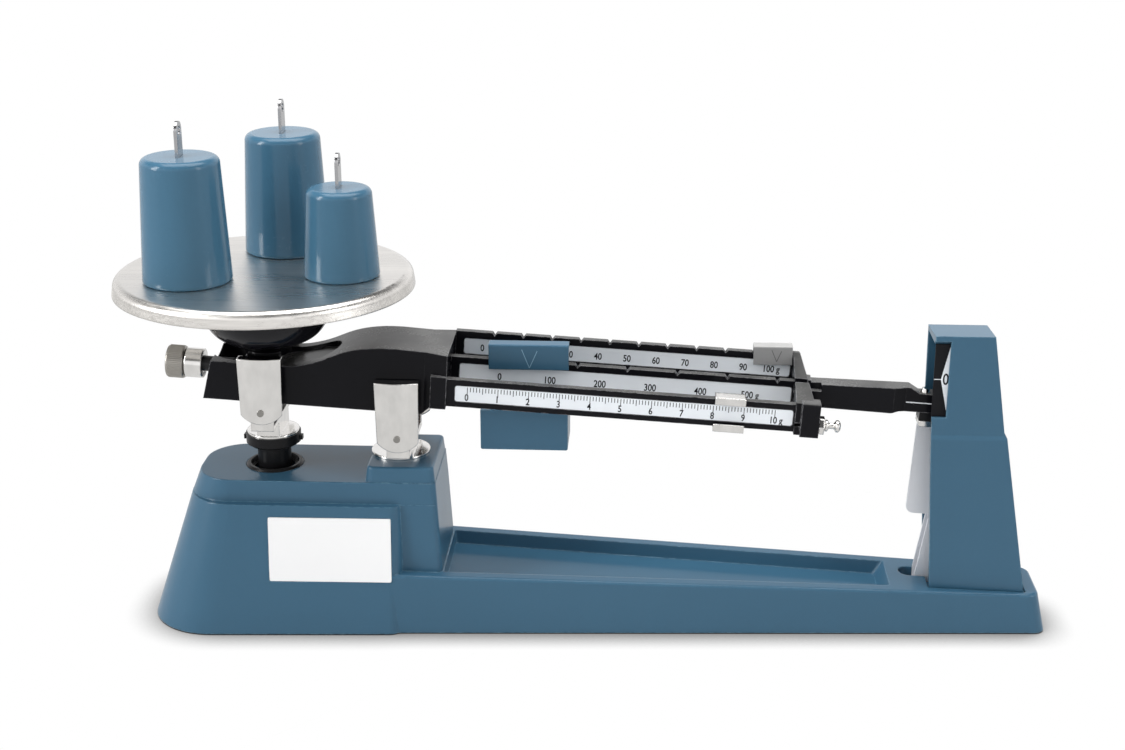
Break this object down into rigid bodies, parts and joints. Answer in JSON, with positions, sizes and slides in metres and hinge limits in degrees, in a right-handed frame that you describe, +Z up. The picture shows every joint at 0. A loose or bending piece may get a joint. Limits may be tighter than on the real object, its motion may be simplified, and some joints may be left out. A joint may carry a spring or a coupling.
{
  "type": "triple beam balance",
  "caption": "Triple beam balance with a round pan on a knife-edge beam, sliding poises on stepped scale rails, a damped pointer in a tower, and stackable attachment weights.",
  "frame": {"origin": "centre of the overall outline, on the surface that the feet stand on", "axes": "+X along the base towards the pointer tower, +Y away from the user, +Z up"},
  "size_m": [0.4788, 0.152, 0.2645],
  "materials": {
    "blue_paint": "satin blue enamel",
    "black_paint": "satin black enamel",
    "black_gloss": "gloss black",
    "black_plastic": "moulded black plastic",
    "index_black": "matt black with a white index wedge",
    "scale_plate": "pale printed metal",
    "white_card": "bare white card",
    "rubber": "moulded",
    "pan_steel": "brushed stainless",
    "nickel": "nickel plated",
    "steel": "bright steel",
    "black_oxide": "blackened thread",
    "aluminium": "sheet",
    "bearing_stone": "polished agate, stood in for by a hard gloss",
    "magnet": "ground ferrite",
    "grey_metal": "grey enamel face, pale top"
  },
  "bodies": {
    "base": {"base_casting": "blue_paint", "rubber_feet": "rubber", "label_card": "white_card", "stem_guide": "black_plastic", "fulcrum_stirrup": "nickel", "fulcrum_bearings": "bearing_stone", "fulcrum_cover_front": "nickel", "fulcrum_cover_rear": "nickel", "fulcrum_cover_screws": "steel", "link_pin": "steel", "tower_cover": "blue_paint", "tower_screws": "steel", "index_plate": "index_black", "magnet_bracket": "steel", "damper_magnets": "magnet"},
    "beam": {"beam_housing": "black_paint", "fulcrum_knife": "steel", "pan_knife": "steel", "rear_rail": "black_paint", "centre_rail": "black_paint", "front_rail": "black_paint", "rear_scale_plate": "scale_plate", "centre_scale_plate": "scale_plate", "front_scale_plate": "scale_plate", "end_plate": "black_paint", "load_stud": "nickel", "load_nut": "nickel", "pointer_arm": "black_paint", "tip_screw": "nickel", "vane_clip": "black_plastic", "vane_pin": "nickel", "damper_vane": "aluminium", "zero_stud": "black_oxide"},
    "yoke": {"yoke_stirrup": "nickel", "pan_bearings": "bearing_stone", "pan_cover_front": "nickel", "pan_cover_rear": "nickel", "pan_cover_screws": "steel", "pan_support": "black_gloss", "collar_ring": "black_plastic", "check_stem": "steel"},
    "check_link": {"check_link": "steel"},
    "pan": {"pan": "pan_steel"},
    "large_weight": {"weight_large": "blue_paint", "weight_large_hanger": "nickel"},
    "rear_weight": {"weight_rear": "blue_paint", "weight_rear_hanger": "nickel"},
    "small_weight": {"weight_small": "blue_paint", "weight_small_hanger": "nickel"},
    "rear_poise": {"rear_poise": "grey_metal"},
    "centre_poise": {"centre_poise": "blue_paint"},
    "front_poise": {"front_poise": "nickel"},
    "zero_barrel": {"zero_barrel": "nickel"},
    "zero_knob": {"zero_knob": "nickel"}
  },
  "joints": [
    {"name": "beam_tilt", "type": "hinge", "parent": "base", "child": "beam", "pos_m": [-0.09462, 0, 0.124], "axis": [0, -1, 0], "range_deg": [0, 6.2]},
    {"name": "yoke_level", "type": "hinge", "parent": "beam", "child": "yoke", "pos_m": [-0.16338, 0, 0.13009], "axis": [0, -1, 0], "range_deg": [-6.3, 0.1]},
    {"name": "link_swing", "type": "hinge", "parent": "base", "child": "check_link", "pos_m": [-0.09462, 0, 0.038], "axis": [0, -1, 0], "range_deg": [-0.1, 6.3]},
    {"name": "pan_lift", "type": "slide", "parent": "yoke", "child": "pan", "axis": [0, 0, 1], "range_m": [0, 0.05]},
    {"name": "large_weight_lift", "type": "slide", "parent": "pan", "child": "large_weight", "axis": [0, 0, 1], "range_m": [0, 0.08]},
    {"name": "rear_weight_lift", "type": "slide", "parent": "pan", "child": "rear_weight", "axis": [0, 0, 1], "range_m": [0, 0.08]},
    {"name": "small_weight_lift", "type": "slide", "parent": "pan", "child": "small_weight", "axis": [0, 0, 1], "range_m": [0, 0.08]},
    {"name": "rear_poise_slide", "type": "slide", "parent": "beam", "child": "rear_poise", "axis": [-0.9982, 0, 0.0593], "range_m": [0, 0.15]},
    {"name": "centre_poise_slide", "type": "slide", "parent": "beam", "child": "centre_poise", "axis": [0.9982, 0, -0.0593], "range_m": [0, 0.12725]},
    {"name": "front_poise_slide", "type": "slide", "parent": "beam", "child": "front_poise", "axis": [0.9982, 0, -0.0593], "range_m": [-0.1316, 0.0227]},
    {"name": "zero_turn", "type": "hinge", "parent": "zero_barrel", "child": "zero_knob", "pos_m": [-0.21114, 0, 0.13553], "axis": [0.9982, 0, -0.0593], "range_deg": [-720, 720]},
    {"name": "zero_travel", "type": "slide", "parent": "beam", "child": "zero_barrel", "axis": [0.9982, 0, -0.0593], "range_m": [-0.0017, 0.0017]}
  ],
  "couplings": [
    {"joint": "yoke_level", "follows": "beam_tilt", "ratio": -1},
    {"joint": "link_swing", "follows": "beam_tilt", "ratio": 1},
    {"joint": "zero_travel", "follows": "zero_turn", "m_per_rad": 0.00012732}
  ]
}
